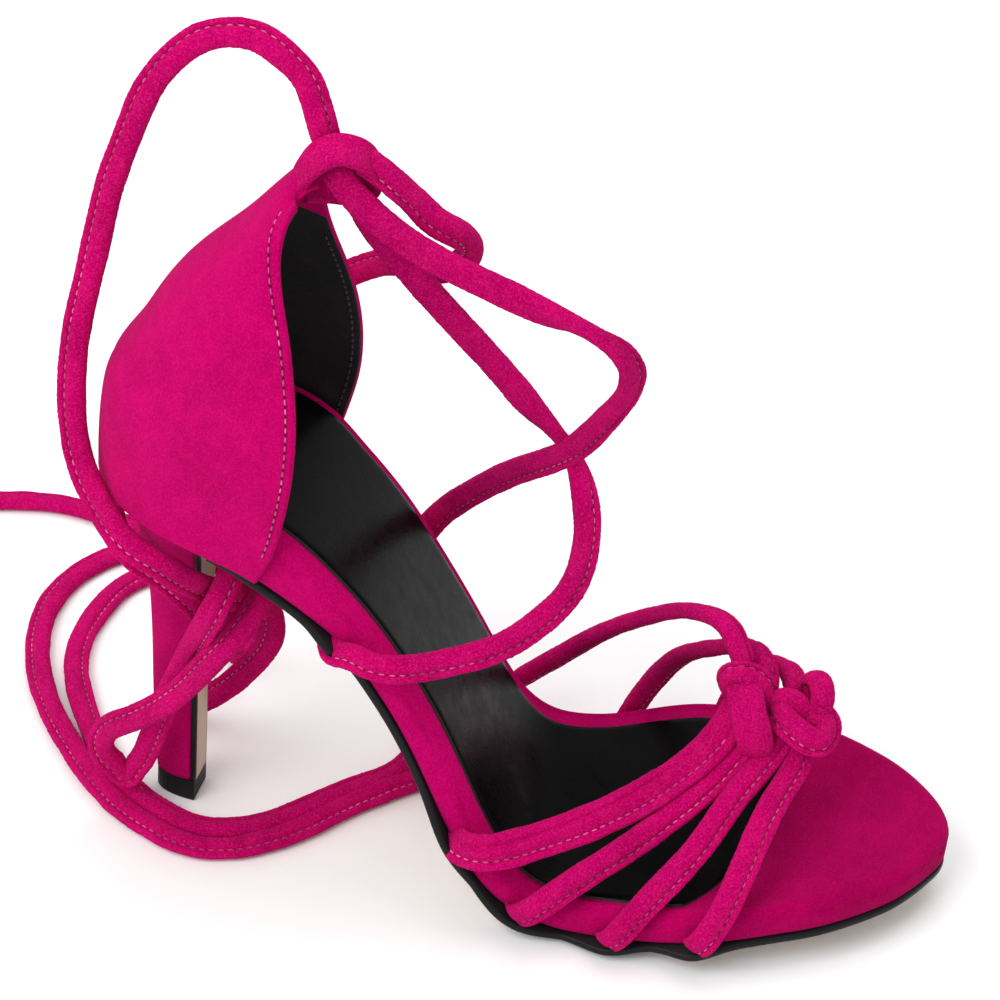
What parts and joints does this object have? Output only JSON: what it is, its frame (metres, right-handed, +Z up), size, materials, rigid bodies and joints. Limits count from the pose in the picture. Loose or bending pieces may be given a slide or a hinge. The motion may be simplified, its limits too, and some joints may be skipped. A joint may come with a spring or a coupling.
{
  "type": "lace up heeled sandal",
  "caption": "Right high heeled sandal with a covered block heel, closed heel cup, knotted toe straps and long wrap laces.",
  "frame": {"origin": "floor point under the middle of the heel's tip, where the heel's bottom face rests", "axes": "+X from heel to toe along the floor, +Y to the inner side of the foot, +Z up"},
  "size_m": [0.2665, 0.1474, 0.1996],
  "materials": {
    "pink_suede": "brushed suede nap",
    "black_leather": "satin lining leather",
    "black_sole_edge": "painted sole edge",
    "beige_leather": "smooth sole leather",
    "black_plastic": "worn matte"
  },
  "bodies": {
    "root": {"top_lift": "black_plastic", "heel": "pink_suede", "heel_breast": "beige_leather", "outsole": "black_sole_edge", "footbed_rim": "pink_suede", "insole": "black_leather", "heel_cup": "pink_suede", "toe_straps": "pink_suede", "heel_loop": "pink_suede", "ankle_laces": "pink_suede", "lace_near": "pink_suede", "lace_far": "pink_suede"}
  },
  "joints": []
}
